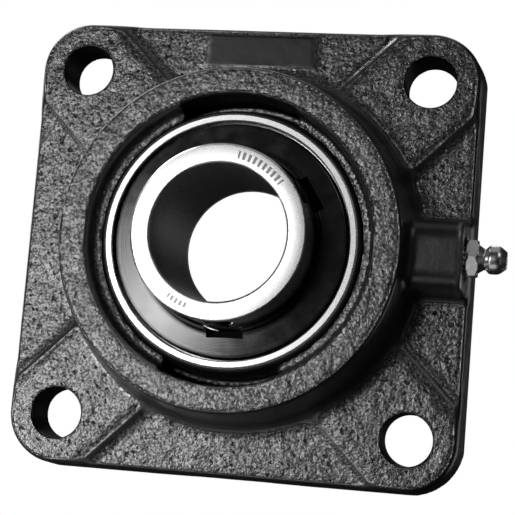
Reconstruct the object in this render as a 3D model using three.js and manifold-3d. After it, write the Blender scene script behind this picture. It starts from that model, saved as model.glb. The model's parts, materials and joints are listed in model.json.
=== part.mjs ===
// Four-bolt square flange bearing unit for a 30 mm shaft.
// Millimetres, +Z up. The bore axis runs along Y and the unit faces -Y. The origin is where the bore
// axis meets the mounting face, so a depth of d millimetres in front of that face is y = -d.

import * as THREE from 'three';
import { mergeVertices } from 'three/addons/utils/BufferGeometryUtils.js';
import Module from 'manifold-3d';

const wasm = await Module();
wasm.setup();

// ---------------------------------------------------------------- driving dimensions

// flange
const FLANGE_SIDE = 108;
const BOLT_SPACING = 83;
const BOLT_HOLE_R = 6;
const PAD_DEPTH = 13;          // depth of the raised bolt pads
const WEB_DEPTH = 11.4;        // depth of the lower areas between the pads
const PAD_HALF_WIDTH = 12.5;
const DRAFT = 0.077;           // how far the sides lean in, per millimetre of depth

// hub and spherical seat
const CENTRE_DEPTH = 18;       // depth of the bearing's centre plane
const HUB_DEPTH = 31;
const HUB_R = 39;
const HUB_BASE_R = 41.4;
const HUB_FILLET = 2.6;
const HUB_START = 2;           // the hub's body starts this deep, inside the flange
const HUB_EDGE = [[0, 1.2], [0.4, 0.3], [1.2, 0]]; // inset and drop of its rounded front edge
const SEAT_R = 31.3;
const REAR_BORE_R = 30;
const STEP_DEPTH = 26;         // depth of the as-cast step in front of the seat
const FRONT_BORE_R = 32.4;
const FRONT_CHAMFER = 0.7;
const SLOT_HALF_WIDTH = 13.35; // loading slots at the top and the bottom
const SLOT_R = 33;
const GROOVE_DEPTHS = [14, 17.2];
const GROOVE_R = 32.2;

// grease boss, its holes and the nipple; the nipple points along +X
const BOSS_DEPTH = 24.6;
const BOSS_HALF_WIDTH = 8;
const BOSS_ROUND = 4;
const BOSS_START_X = 34;
const BOSS_FOOT_DEPTH = 4;
const BOSS_FLARE = 0.8;        // how much wider each side is at the foot
const SPOT_X = 51.5;
const SPOT_R = 4.9;
const TAPPED_R = 3;
const TAPPED_END_X = 42;
const PASSAGE_R = 1.5;
const NIPPLE_THREAD_R = 2.7;
const NIPPLE_X = {
  tail: 45.8, lip: 46.6, hex: 52.9, neck: 55.4, throat: 57, head: 57.8, mouth: 61, tip: 61.8,
};
const NIPPLE_HEX_FLATS = 8;
const NIPPLE_SHOULDER_R = 3.6; // foot of the cone behind the head
const NIPPLE_TIP_R = 2.15;
const NIPPLE_BORE_R = 1.75;
const NIPPLE_MOUTH_R = 0.9;
const NIPPLE_HEAD_R = 3.25;
const NIPPLE_THROAT_R = 2.4;
const CHECK_BALL_R = 1.3;
const CHECK_BALL_X = 59.7;
const SPRING_ENDS_X = [47.2, 58];
const SPRING_R = 1.15;
const SPRING_WIRE_R = 0.2;
const SPRING_TURNS = 5;

// bearing insert
const BORE_R = 15;
const INNER_RING_R = 20;
const INNER_FRONT = 22.2;      // how far the inner ring reaches in front of the centre plane
const INNER_REAR = 15.9;
const CHAMFER = 0.7;
const OUTER_RING_R = 31;
const OUTER_HALF_WIDTH = 9.5;
const OUTER_FACE_R = 28.85;
const OUTER_LAND_R = 27.35;
const OUTER_SHOULDER_R = 25.7;
const SEAL_RECESS = 5.3;       // the seal recess starts this far from the centre plane
const BALL_COUNT = 9;
const BALL_R = 4.7625;
const PITCH_R = 23;
const RACE_R = 5.05;
const OIL_HOLE_R = 0.9;

// cage
const CAGE_R = [21.7, 24.3];
const POCKET_R = 5.05;
const CAGE_SHEET = 0.8;
const CAGE_SPLIT = 0.15;       // each half starts this far from the centre plane
const RIVET_R = 0.65;
const RIVET_HOLE_R = 0.95;
const RIVET_HEAD_R = 1.45;
const RIVET_HEAD = 0.6;
const RIVET_DOME = 0.4;

// seals and flingers
const SEAL_R = [20.5, 27.05];
const SEAL_FROM_CENTRE = [6.15, 7.6];
const FLINGER_SHEET = 0.7;
const FLINGER_COLLAR_R = 20.3;
const FLINGER_RIM_R = 26.6;
const FLINGER_PLATE = 8.9;     // inner end of the plate, from the centre plane
const FLINGER_RIM = 8.2;       // outer end of the plate, from the centre plane
const FLINGER_COLLAR = 11.6;
const NOTCH_HALF_WIDTH = 4.2;
const NOTCH_R = 22.2;

// set screws, given by their angle from +X towards +Z
const SCREW_ANGLES = [-88, 32];
const SCREW_FROM_FACE = 5;
const SCREW_R = 3;
const SCREW_HOLE_R = 3.3;
const SCREW_ENDS_R = [15.4, 20.4];
const SOCKET_FLATS = 3;
const SOCKET_DEPTH = 2.6;

const RIVET_CLEARANCE = 0.15;
const OVERCUT = 1;             // how far a cutting solid runs past the face it opens
const SMALL = 10;              // sides of a small round piece
const MEDIUM = 24;
const LARGE = 44;

// ---------------------------------------------------------------- materials

function finish(colour, roughness, metalness) {
  return new THREE.MeshStandardMaterial({ color: colour, roughness, metalness });
}

const castIron = finish(0x3b3c3e, 0.62, 0.15);
const groundSteel = finish(0xd9d9d6, 0.22, 1);
const balls = finish(0xe4e4e2, 0.12, 1);
const cageSteel = finish(0xa8a8a4, 0.38, 1);
const rubber = finish(0x17181a, 0.75, 0);
const flingerSteel = finish(0x8d8e90, 0.33, 1);
const blackSteel = finish(0x26262a, 0.45, 0.8);
const zinc = finish(0xc9c8c2, 0.3, 1);
const springSteel = finish(0x8a8a88, 0.35, 1);

// ---------------------------------------------------------------- solids

function toSolid(geometry) {
  const bare = geometry.index ? geometry.clone() : geometry;
  bare.deleteAttribute('normal');
  bare.deleteAttribute('uv');
  const merged = mergeVertices(bare, 1e-4);
  const corners = merged.index.array;
  const kept = [];
  for (let i = 0; i < corners.length; i += 3) {
    const [a, b, c] = corners.slice(i, i + 3);
    if (a !== b && b !== c && c !== a) kept.push(a, b, c);
  }
  const vertProperties = new Float32Array(merged.attributes.position.array);
  return new wasm.Manifold(new wasm.Mesh({ numProp: 3, vertProperties, triVerts: new Uint32Array(kept) }));
}

function toGeometry(solid) {
  const mesh = solid.getMesh();
  const geometry = new THREE.BufferGeometry();
  geometry.setAttribute('position', new THREE.BufferAttribute(new Float32Array(mesh.vertProperties), 3));
  geometry.setIndex(new THREE.BufferAttribute(new Uint32Array(mesh.triVerts), 1));
  return geometry;
}

function piece(name, solid, material) {
  const mesh = new THREE.Mesh(toGeometry(solid), material);
  mesh.name = name;
  return mesh;
}

// A solid of revolution round Y from a closed profile of [radius, depth] points.
function turned(profile, sides) {
  const points = profile.map(([r, depth]) => new THREE.Vector2(Math.max(r, 0), -depth));
  const area = points.reduce((sum, p, i) => sum + p.cross(points[(i + 1) % points.length]), 0);
  if (area < 0) points.reverse();
  points.push(points[0].clone());
  return toSolid(new THREE.LatheGeometry(points, sides));
}

// The same, with each point's second number counted from the bearing's centre plane, frontwards.
function turnedFromCentre(profile, sides) {
  return turned(profile.map(([r, ahead]) => [r, CENTRE_DEPTH + ahead]), sides);
}

// Points of an arc in [radius, depth] form, from one angle to another, in degrees.
function arc(centre, radius, from, to, steps) {
  const points = [];
  for (let i = 0; i <= steps; i += 1) {
    const angle = THREE.MathUtils.degToRad(from + (to - from) * i / steps);
    points.push([centre[0] + radius * Math.cos(angle), centre[1] + radius * Math.sin(angle)]);
  }
  return points;
}

// A round bar along Y between two depths.
function bar(radius, from, to, sides) {
  return turned([[0, from], [radius, from], [radius, to], [0, to]], sides);
}

// Turns a solid made round Y so that it lies along +X, with depth -x becoming x.
function alongX(solid) {
  return solid.transform(new THREE.Matrix4().makeRotationZ(-Math.PI / 2).elements);
}

function move(solid, x, y, z) {
  return solid.transform(new THREE.Matrix4().makeTranslation(x, y, z).elements);
}

// A round bar along X between two places, at the height of the bearing's centre.
function crossBar(radius, fromX, toX, sides) {
  return move(alongX(bar(radius, -toX, -fromX, sides)), 0, -CENTRE_DEPTH, 0);
}

function box(x, y, z) {
  const geometry = new THREE.BoxGeometry(x[1] - x[0], y[1] - y[0], z[1] - z[0]);
  return move(toSolid(geometry), (x[0] + x[1]) / 2, (y[0] + y[1]) / 2, (z[0] + z[1]) / 2);
}

function sphere(radius, sides, rings) {
  return toSolid(new THREE.SphereGeometry(radius, sides, rings));
}

// An outline in X and Z extruded forwards from the mounting face, leaning in with the casting draft.
function drafted(outline, depth) {
  const geometry = new THREE.ExtrudeGeometry(outline, { depth, bevelEnabled: false, curveSegments: 6 });
  const scale = 1 - DRAFT * depth / (FLANGE_SIDE / 2);
  const position = geometry.attributes.position;
  for (let i = 0; i < position.count; i += 1) {
    const factor = position.getZ(i) > depth / 2 ? scale : 1;
    position.setXY(i, position.getX(i) * factor, position.getY(i) * factor);
  }
  geometry.rotateX(Math.PI / 2);
  return toSolid(geometry);
}

// Turns a solid round the bore axis; positive goes from +X towards +Z.
function aboutBore(solid, degrees) {
  return solid.transform(new THREE.Matrix4().makeRotationY(-THREE.MathUtils.degToRad(degrees)).elements);
}

function repeatAboutBore(solid, count, offset) {
  let all = null;
  for (let i = 0; i < count; i += 1) {
    const copy = aboutBore(solid, offset + 360 * i / count);
    all = all ? all.add(copy) : copy;
  }
  return all;
}

// ---------------------------------------------------------------- housing

function squareOutline() {
  const half = FLANGE_SIDE / 2;
  const centre = BOLT_SPACING / 2;
  const radius = half - centre;
  const shape = new THREE.Shape();
  shape.moveTo(centre, -half);
  shape.absarc(centre, -centre, radius, -Math.PI / 2, 0, false);
  shape.absarc(centre, centre, radius, 0, Math.PI / 2, false);
  shape.absarc(-centre, centre, radius, Math.PI / 2, Math.PI, false);
  shape.absarc(-centre, -centre, radius, Math.PI, 1.5 * Math.PI, false);
  return shape;
}

// One pad: a strip along +X from the middle to a bolt hole, with a round end about the hole.
function padOutline() {
  const reach = BOLT_SPACING / 2 * Math.SQRT2;
  const shape = new THREE.Shape();
  shape.moveTo(0, -PAD_HALF_WIDTH);
  shape.absarc(reach, 0, PAD_HALF_WIDTH, -Math.PI / 2, Math.PI / 2, false);
  shape.lineTo(0, PAD_HALF_WIDTH);
  return shape;
}

function hubBody() {
  const foot = [HUB_BASE_R + HUB_FILLET, WEB_DEPTH + HUB_FILLET];
  return turned([
    [0, HUB_START],
    [foot[0], HUB_START],
    [foot[0], WEB_DEPTH],
    ...arc(foot, HUB_FILLET, 270, 180, 2),
    ...HUB_EDGE.map(([inset, drop]) => [HUB_R - inset, HUB_DEPTH - drop]),
    [0, HUB_DEPTH],
  ], LARGE);
}

function greaseBoss() {
  const top = BOSS_DEPTH - BOSS_ROUND;
  const side = BOSS_HALF_WIDTH - BOSS_ROUND;
  const shape = new THREE.Shape();
  shape.moveTo(-BOSS_HALF_WIDTH - BOSS_FLARE, BOSS_FOOT_DEPTH);
  shape.lineTo(BOSS_HALF_WIDTH + BOSS_FLARE, BOSS_FOOT_DEPTH);
  shape.absarc(side, top, BOSS_ROUND, 0, Math.PI / 2, false);
  shape.absarc(-side, top, BOSS_ROUND, Math.PI / 2, Math.PI, false);
  const depth = FLANGE_SIDE / 2 + 2 * OVERCUT - BOSS_START_X;
  const geometry = new THREE.ExtrudeGeometry(shape, { depth, bevelEnabled: false, curveSegments: 4 });
  geometry.translate(0, 0, BOSS_START_X);
  geometry.applyMatrix4(new THREE.Matrix4().set(0, 0, 1, 0, 0, -1, 0, 0, 1, 0, 0, 0, 0, 0, 0, 1));
  return toSolid(geometry);
}

// The rear bore, the spherical seat, the as-cast step and the front bore, as one cutting solid.
function seatCutter() {
  const rear = THREE.MathUtils.radToDeg(Math.acos(REAR_BORE_R / SEAT_R));
  const front = THREE.MathUtils.radToDeg(Math.asin((STEP_DEPTH - CENTRE_DEPTH) / SEAT_R));
  return turned([
    [0, -OVERCUT],
    [REAR_BORE_R, -OVERCUT],
    ...arc([0, CENTRE_DEPTH], SEAT_R, -rear, front, 6),
    [FRONT_BORE_R, STEP_DEPTH],
    [FRONT_BORE_R, HUB_DEPTH - FRONT_CHAMFER],
    [FRONT_BORE_R + FRONT_CHAMFER + OVERCUT, HUB_DEPTH + OVERCUT],
    [0, HUB_DEPTH + OVERCUT],
  ], LARGE);
}

function slotCutter() {
  const round = bar(SLOT_R, CENTRE_DEPTH, HUB_DEPTH + OVERCUT, LARGE);
  const slab = box([-SLOT_HALF_WIDTH, SLOT_HALF_WIDTH], [-HUB_DEPTH - OVERCUT, 0], [-HUB_R, HUB_R]);
  return round.intersect(slab);
}

function grooveCutter() {
  const [from, to] = GROOVE_DEPTHS;
  const inside = REAR_BORE_R - OVERCUT;
  return turned([[inside, from], [GROOVE_R, from], [GROOVE_R, to], [inside, to]], LARGE);
}

function housing() {
  let solid = drafted(squareOutline(), WEB_DEPTH);
  const envelope = drafted(squareOutline(), BOSS_DEPTH + OVERCUT);
  for (let i = 0; i < 4; i += 1) {
    const pad = toSolid(
      new THREE.ExtrudeGeometry(padOutline(), { depth: PAD_DEPTH, bevelEnabled: false, curveSegments: 10 })
        .rotateX(Math.PI / 2),
    );
    solid = solid.add(aboutBore(pad, 45 + 90 * i).intersect(envelope));
  }
  solid = solid.add(hubBody()).add(greaseBoss().intersect(envelope));
  solid = solid.subtract(seatCutter()).subtract(slotCutter()).subtract(grooveCutter());
  for (const x of [-1, 1]) {
    for (const z of [-1, 1]) {
      const hole = bar(BOLT_HOLE_R, -OVERCUT, PAD_DEPTH + OVERCUT, MEDIUM);
      solid = solid.subtract(move(hole, x * BOLT_SPACING / 2, 0, z * BOLT_SPACING / 2));
    }
  }
  return solid
    .subtract(crossBar(SPOT_R, SPOT_X, FLANGE_SIDE / 2 + OVERCUT, MEDIUM))
    .subtract(crossBar(TAPPED_R, TAPPED_END_X, FLANGE_SIDE / 2, 16))
    .subtract(crossBar(PASSAGE_R, REAR_BORE_R, TAPPED_END_X + OVERCUT, SMALL));
}

// ---------------------------------------------------------------- grease nipple

function nippleBody() {
  const x = NIPPLE_X;
  const outside = [
    [NIPPLE_THREAD_R - 0.5, x.tail],
    [NIPPLE_THREAD_R, x.tail + 0.5],
    [NIPPLE_THREAD_R, x.hex + 0.4],
    [NIPPLE_SHOULDER_R, x.hex + 0.4],
    [NIPPLE_SHOULDER_R, x.neck],
    [NIPPLE_THROAT_R, x.throat - 0.2],
    [NIPPLE_THROAT_R, x.throat],
    [NIPPLE_HEAD_R, x.head],
    [NIPPLE_HEAD_R, x.mouth - 0.7],
    [NIPPLE_TIP_R, x.tip],
  ];
  const inside = [
    [NIPPLE_MOUTH_R + 0.2, x.tip],
    [NIPPLE_MOUTH_R, x.mouth],
    [NIPPLE_BORE_R, x.mouth - 0.9],
    [NIPPLE_BORE_R, x.lip],
    [NIPPLE_MOUTH_R, x.lip],
    [NIPPLE_MOUTH_R, x.tail],
  ];
  const along = ([r, place]) => [r, -place];
  const core = turned([...outside, ...inside].map(along), 16);
  const corner = NIPPLE_HEX_FLATS / Math.sqrt(3);
  const rootR = NIPPLE_THREAD_R - 0.5;
  const ring = [[rootR, x.hex], [corner, x.hex], [corner, x.neck], [rootR, x.neck]].map(along);
  return move(alongX(core.add(turned(ring, 6))), 0, -CENTRE_DEPTH, 0);
}

function nippleSpring() {
  class Helix extends THREE.Curve {
    getPoint(t) {
      const angle = 2 * Math.PI * SPRING_TURNS * t;
      const x = THREE.MathUtils.lerp(SPRING_ENDS_X[0], SPRING_ENDS_X[1], t);
      return new THREE.Vector3(x, SPRING_R * Math.cos(angle) - CENTRE_DEPTH, SPRING_R * Math.sin(angle));
    }
  }
  const section = new THREE.Shape().absarc(0, 0, SPRING_WIRE_R, 0, 2 * Math.PI, false);
  const steps = SPRING_TURNS * 8;
  const options = { steps, extrudePath: new Helix(), bevelEnabled: false, curveSegments: 3 };
  return toSolid(new THREE.ExtrudeGeometry(section, options));
}

// ---------------------------------------------------------------- bearing insert

function outerRing() {
  const face = OUTER_HALF_WIDTH;
  const edge = THREE.MathUtils.radToDeg(Math.asin((face - 0.5) / OUTER_RING_R));
  const race = THREE.MathUtils.radToDeg(Math.acos((OUTER_SHOULDER_R - PITCH_R) / RACE_R));
  const ring = turnedFromCentre([
    [OUTER_LAND_R + 0.2, -face],
    [OUTER_FACE_R, -face],
    ...arc([0, 0], OUTER_RING_R, -edge, edge, 6),
    [OUTER_FACE_R, face],
    [OUTER_LAND_R + 0.2, face],
    [OUTER_LAND_R, face - 0.2],
    [OUTER_LAND_R, SEAL_RECESS],
    [OUTER_SHOULDER_R, SEAL_RECESS],
    ...arc([PITCH_R, 0], RACE_R, race, -race, 5),
    [OUTER_SHOULDER_R, -SEAL_RECESS],
    [OUTER_LAND_R, -SEAL_RECESS],
    [OUTER_LAND_R, 0.2 - face],
  ], LARGE);
  const through = crossBar(OIL_HOLE_R, PITCH_R + OVERCUT, OUTER_RING_R + OVERCUT, 8);
  const hole = move(through, 0, CENTRE_DEPTH - GROOVE_DEPTHS[0] - OIL_HOLE_R, 0);
  return ring.subtract(hole).subtract(aboutBore(hole, 180));
}

function innerRing() {
  const race = THREE.MathUtils.radToDeg(Math.acos((PITCH_R - INNER_RING_R) / RACE_R));
  let ring = turnedFromCentre([
    [BORE_R, CHAMFER - INNER_REAR],
    [BORE_R + CHAMFER, -INNER_REAR],
    [INNER_RING_R - CHAMFER, -INNER_REAR],
    [INNER_RING_R, CHAMFER - INNER_REAR],
    ...arc([PITCH_R, 0], RACE_R, 180 + race, 180 - race, 5),
    [INNER_RING_R, INNER_FRONT - CHAMFER],
    [INNER_RING_R - CHAMFER, INNER_FRONT],
    [BORE_R + CHAMFER, INNER_FRONT],
    [BORE_R, INNER_FRONT - CHAMFER],
  ], LARGE);
  for (const angle of SCREW_ANGLES) {
    const hole = crossBar(SCREW_HOLE_R, BORE_R - OVERCUT, INNER_RING_R + OVERCUT, 16);
    ring = ring.subtract(atScrew(hole, angle));
  }
  return ring;
}

// Moves a solid made on the X axis at the centre plane to a set screw's place.
function atScrew(solid, angle) {
  return aboutBore(move(solid, 0, SCREW_FROM_FACE - INNER_FRONT, 0), angle);
}

function setScrew(angle) {
  const [tip, top] = SCREW_ENDS_R;
  const socket = crossBar(SOCKET_FLATS / Math.sqrt(3), top - SOCKET_DEPTH, top + OVERCUT, 6);
  return atScrew(crossBar(SCREW_R, tip, top, 16).subtract(socket), angle);
}

function bearingBall(index) {
  const ball = move(sphere(BALL_R, 12, 8), PITCH_R, -CENTRE_DEPTH, 0);
  return aboutBore(ball, 360 * index / BALL_COUNT);
}

function rivetAngle(index) {
  return 360 * (index + 0.5) / BALL_COUNT;
}

// One pressed half: flat between the balls, and a cup round each ball.
function cageHalf(side) {
  const [inside, outside] = CAGE_R;
  const reach = POCKET_R + CAGE_SHEET;
  const ring = (from, to) => turnedFromCentre(
    [[inside, side * from], [outside, side * from], [outside, side * to], [inside, side * to]],
    27,
  );
  const cup = move(sphere(reach, 12, 8), PITCH_R, -CENTRE_DEPTH, 0);
  const pocket = move(sphere(POCKET_R, 12, 8), PITCH_R, -CENTRE_DEPTH, 0);
  const hole = move(bar(RIVET_HOLE_R, 0, 2 * CENTRE_DEPTH, 6), PITCH_R, 0, 0);
  const cups = repeatAboutBore(cup, BALL_COUNT, 0).intersect(ring(CAGE_SPLIT, reach));
  return ring(CAGE_SPLIT, CAGE_SPLIT + CAGE_SHEET)
    .add(cups)
    .subtract(repeatAboutBore(pocket, BALL_COUNT, 0))
    .subtract(repeatAboutBore(hole, BALL_COUNT, rivetAngle(0)));
}

function cageRivet(index) {
  const under = CAGE_SPLIT + CAGE_SHEET + RIVET_CLEARANCE;
  const over = under + RIVET_HEAD;
  const rivet = turnedFromCentre([
    [0, -over],
    [RIVET_HEAD_R - RIVET_DOME, -over],
    [RIVET_HEAD_R, -under],
    [RIVET_R, -under],
    [RIVET_R, under],
    [RIVET_HEAD_R, under],
    [RIVET_HEAD_R - RIVET_DOME, over],
    [0, over],
  ], 6);
  return aboutBore(move(rivet, PITCH_R, 0, 0), rivetAngle(index));
}

function seal(side) {
  const [inside, outside] = SEAL_R;
  const [near, far] = SEAL_FROM_CENTRE.map((ahead) => side * ahead);
  return turnedFromCentre([[inside, near], [outside, near], [outside, far], [inside, far]], 40);
}

function flinger(side) {
  const sheet = FLINGER_SHEET;
  return turnedFromCentre([
    [FLINGER_COLLAR_R, FLINGER_PLATE],
    [FLINGER_RIM_R, FLINGER_RIM],
    [FLINGER_RIM_R, FLINGER_RIM + sheet],
    [FLINGER_COLLAR_R + sheet + 0.5, FLINGER_PLATE + sheet],
    [FLINGER_COLLAR_R + sheet, FLINGER_PLATE + sheet + 0.5],
    [FLINGER_COLLAR_R + sheet, FLINGER_COLLAR],
    [FLINGER_COLLAR_R, FLINGER_COLLAR],
  ].map(([r, ahead]) => [r, side * ahead]), 40);
}

function frontFlinger() {
  let solid = flinger(1);
  for (const angle of SCREW_ANGLES) {
    const notch = box(
      [INNER_RING_R - OVERCUT, NOTCH_R],
      [-CENTRE_DEPTH - FLINGER_COLLAR - OVERCUT, -CENTRE_DEPTH - FLINGER_PLATE + OVERCUT],
      [-NOTCH_HALF_WIDTH, NOTCH_HALF_WIDTH],
    );
    solid = solid.subtract(aboutBore(notch, angle));
  }
  return solid;
}

// ---------------------------------------------------------------- assembly

const unit = new THREE.Group();

const grease = new THREE.Group();
grease.add(piece('grease_nipple_body', nippleBody(), zinc));
grease.add(piece('nipple_spring', nippleSpring(), springSteel));
const checkBall = move(sphere(CHECK_BALL_R, 12, 8), CHECK_BALL_X, -CENTRE_DEPTH, 0);
grease.add(piece('nipple_check_ball', checkBall, balls));

const insert = new THREE.Group();
insert.add(piece('outer_ring', outerRing(), groundSteel));
insert.add(piece('inner_ring', innerRing(), groundSteel));
for (let i = 0; i < BALL_COUNT; i += 1) {
  insert.add(piece(`ball_${i + 1}`, bearingBall(i), balls));
  insert.add(piece(`cage_rivet_${i + 1}`, cageRivet(i), cageSteel));
}
insert.add(piece('cage_front', cageHalf(1), cageSteel));
insert.add(piece('cage_rear', cageHalf(-1), cageSteel));
insert.add(piece('seal_front', seal(1), rubber));
insert.add(piece('seal_rear', seal(-1), rubber));
insert.add(piece('flinger_front', frontFlinger(), flingerSteel));
insert.add(piece('flinger_rear', flinger(-1), flingerSteel));
SCREW_ANGLES.forEach((angle, i) => insert.add(piece(`set_screw_${i + 1}`, setScrew(angle), blackSteel)));

unit.add(piece('housing', housing(), castIron), grease, insert);

export default unit;
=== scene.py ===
"""The looks of a four-bolt flange bearing unit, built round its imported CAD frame.

Shapes are worked out in millimetres and in the frame's own axes: the bore axis is Y, the unit faces -Y,
and a point's depth is its distance in front of the mounting face, -y. place() turns them into metres.
"""

import itertools
import json
import math

import bmesh
import bpy
import numpy as np
import openvdb
from mathutils import Matrix, Vector


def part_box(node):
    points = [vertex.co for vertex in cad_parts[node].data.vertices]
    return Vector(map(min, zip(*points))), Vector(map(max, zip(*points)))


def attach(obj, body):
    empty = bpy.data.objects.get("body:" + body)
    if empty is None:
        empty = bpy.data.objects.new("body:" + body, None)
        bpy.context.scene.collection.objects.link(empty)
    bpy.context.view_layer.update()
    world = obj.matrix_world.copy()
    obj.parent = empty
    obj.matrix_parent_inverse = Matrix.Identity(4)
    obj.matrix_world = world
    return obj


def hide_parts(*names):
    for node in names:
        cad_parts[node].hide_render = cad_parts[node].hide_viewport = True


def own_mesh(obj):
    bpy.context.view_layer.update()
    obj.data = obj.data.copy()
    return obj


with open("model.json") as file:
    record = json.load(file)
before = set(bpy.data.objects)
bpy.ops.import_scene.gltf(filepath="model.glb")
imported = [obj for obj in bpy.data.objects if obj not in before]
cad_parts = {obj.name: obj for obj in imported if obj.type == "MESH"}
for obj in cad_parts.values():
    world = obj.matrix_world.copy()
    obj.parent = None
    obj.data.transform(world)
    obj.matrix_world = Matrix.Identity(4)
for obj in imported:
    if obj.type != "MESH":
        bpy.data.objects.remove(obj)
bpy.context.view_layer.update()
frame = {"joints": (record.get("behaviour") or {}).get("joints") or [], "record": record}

MM = 0.001
record = frame["record"]


def box_mm(node):
    """The low and high corners of a CAD node's box, in millimetres."""
    low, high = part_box(node)
    return low / MM, high / MM


# ---------------------------------------------------------------- sizes from the frame, in millimetres

housing_low, housing_high = box_mm("housing")
outer_low, outer_high = box_mm("outer_ring")
inner_low, inner_high = box_mm("inner_ring")
seal_low, seal_high = box_mm("seal_front")
screw_joints = [j for j in frame["joints"] if j["name"].startswith("set_screw")]
ball_joints = [j for j in frame["joints"] if j["name"].startswith("ball_spin")]
openings = {o["name"]: o["box_m"] for o in record["physics"]["openings"]}

FLANGE_HALF = housing_high.z
HUB_DEPTH = -housing_low.y
CENTRE_DEPTH = -(outer_low.y + outer_high.y) / 2
OUTER_HALF_WIDTH = (outer_high.y - outer_low.y) / 2
OUTER_RING_R = outer_high.x
INNER_RING_R = inner_high.x
INNER_FRONT = -inner_low.y - CENTRE_DEPTH
INNER_REAR = inner_high.y + CENTRE_DEPTH

# the casting. A draft or flare is how far a wall leans out for each millimetre down it
BOLT_X = sum(corner[0] for corner in openings["bolt_hole_top_right"]) / 2 / MM
BOLT_HOLE_R = 6
CORNER_R = FLANGE_HALF - BOLT_X
DRAFT = 0.077
PAD_DEPTH = 13
WEB_DEPTH = 11.4
PAD_HALF_WIDTH = 11.9
PAD_FLARE = 1.5
HUB_R = 39.2
HUB_FLARE = 0.125
HUB_SLANT = 0.99  # turns a distance measured level into one measured across the slanting wall

# the room for the bearing, with its two loading slots and its grease groove
SEAT_R = OUTER_RING_R + 0.2
REAR_BORE_R = 30
STEP_DEPTH = 26
FRONT_BORE_R = 32.4
MOUTH_FLARE = 0.3
MOUTH_FLARE_DEPTH = 2
SLOT_HALF_WIDTH = 13.35
SLOT_R = 33
GROOVE_R = 32.2
GROOVE_DEPTH = 15.6
GROOVE_HALF_WIDTH = 1.6

# the grease boss and what is drilled in it
BOSS_DEPTH = 24.6
BOSS_HALF_WIDTH = 7.6
BOSS_DRAFT = 0.09
BOSS_START_X = 30
SPOT_X = 51.5
SPOT_R = 4.9
TAPPED_R = 2.95
TAPPED_END_X = 42
GREASE_HOLE_R = 1.5

# rings, balls and cage
BORE_R = 15
INNER_CHAMFER = 0.7
OUTER_FACE_R = 28.75
OUTER_EDGE = 0.6
LAND_R = 27.35
LAND_CHAMFER = 0.25
SHOULDER_R = 25.7
SHOULDER_HALF_WIDTH = 5.3
BALL_R = 4.7625
BALL_COUNT = len(ball_joints)
PITCH_R = 23
RACE_R = 5.0
CAGE_R = (21.7, 24.3)
POCKET_R = 5.05
CAGE_SHEET = 0.8
CAGE_SPLIT = 0.15
RIVET_R = 0.65
RIVET_HEAD_R = 1.45
RIVET_HEAD = 0.6
RIVET_PLAY = 0.08
RIVET_LIFT = 0.02

# seals and flingers. A place without a side is counted from the centre plane
SEAL_R = (20.5, seal_high.x)
SEAL_FROM_CENTRE = (-seal_high.y - CENTRE_DEPTH, -seal_low.y - CENTRE_DEPTH)
FLINGER_SHEET = 0.7
FLINGER_COLLAR_R = 20.3
FLINGER_RIM_R = 26.6
FLINGER_PLATE = 8.9
FLINGER_RIM = 8.2
FLINGER_COLLAR = 11.6
NOTCH_HALF_WIDTH = 4.2
NOTCH_R = 22.2

# set screws
SCREW_FROM_FACE = 5
SCREW_R = 3
SCREW_PITCH = 1
SCREW_THREAD = 0.5
SCREW_ENDS_R = (15.4, 20.4)
SCREW_HOLE_R = 3.42
SCREW_HOLE_THREAD = 0.28
SOCKET_FLATS = 3
SOCKET_DEPTH = 2.6

# the grease nipple, along X from its tail in the housing to its tip
NIPPLE_X = {
    "tail": 45.8, "lip": 46.6, "hex": 52.9, "neck": 55.4,
    "throat": 57, "head": 57.8, "mouth": 61, "tip": 61.8,
}
NIPPLE_HEX_FLATS = 8
NIPPLE_THREAD_R = 2.7
NIPPLE_THREAD = 0.38
NIPPLE_PITCH = 1
NIPPLE_BORE_R = 1.75
NIPPLE_MOUTH_R = 0.9
NIPPLE_HEAD_R = 3.25
NIPPLE_THROAT_R = 2.4
NIPPLE_NECK_R = 3.3
NIPPLE_TIP_R = 1.9
CHECK_BALL_R = 1.3
CHECK_BALL_X = 59.7
SPRING_ENDS_X = (47.2, 58)
SPRING_R = 1.15
SPRING_WIRE_R = 0.2
SPRING_TURNS = 5
THREAD_STEP = 0.12

# marks and finish of the rings, and the radius past which the outer ring's back is painted near black as
# shade. Turns are in degrees from +X towards +Z
BACK_SHADE_R = 29
ETCHED_ROWS = (
    {"turn": (41, 79), "spacing": 4.2, "radii": (16.7, 18.4)},
    {"turn": (-124, -108), "spacing": 3.6, "radii": (16.9, 18.0)},
)
FINE = 192

# how far each edge of the casting is rounded, or each inside corner filled
EDGE_ROUND = 1.5
PAD_TOP_ROUND = 1.0
PAD_FILLET = 0.9
HUB_ROUND = 1.3
HUB_FILLET = 3.4
BOSS_ROUND = 5.0
BOSS_END_ROUND = 1.4
BOSS_FILLET = 2.2
SMALL_ROUND = 0.5
STEP_ROUND = 0.9
SLOT_ROUND = 1.0
SLOT_FLOOR_ROUND = 0.8
GROOVE_ROUND = 0.3
SEAT_ROUND = 0.5
MOUTH_EXTRA_ROUND = 0.4
MOUTH_FADE = (21.5, 6.5)
BOLT_ROUND = 0.8
SPOT_ROUND = 0.35
TAPPED_ROUND = 0.4

# the cast skin: the height, the width and the seed of each layer of bumps, and the smooth patch
SKIN_BUMPS = ((0.10, 2.6, 1), (0.07, 1.5, 2), (0.12, 14, 3))
SKIN_SINK = 0.06
MACHINED_R = 31.6
EDGE_PROBE = 0.9  # how deep the metal is sounded to find an outer edge
PATCH_X = 0.5
PATCH_Z = 48
PATCH_HALF_WIDTH = 13.5
PATCH_HALF_HEIGHT = 4
HOUSING_VOXEL = 0.56
FIELD_MARGIN = 2
BOX_INSET = 0.002  # keeps the bumps inside the CAD part's box


# ---------------------------------------------------------------- mesh helpers

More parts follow.
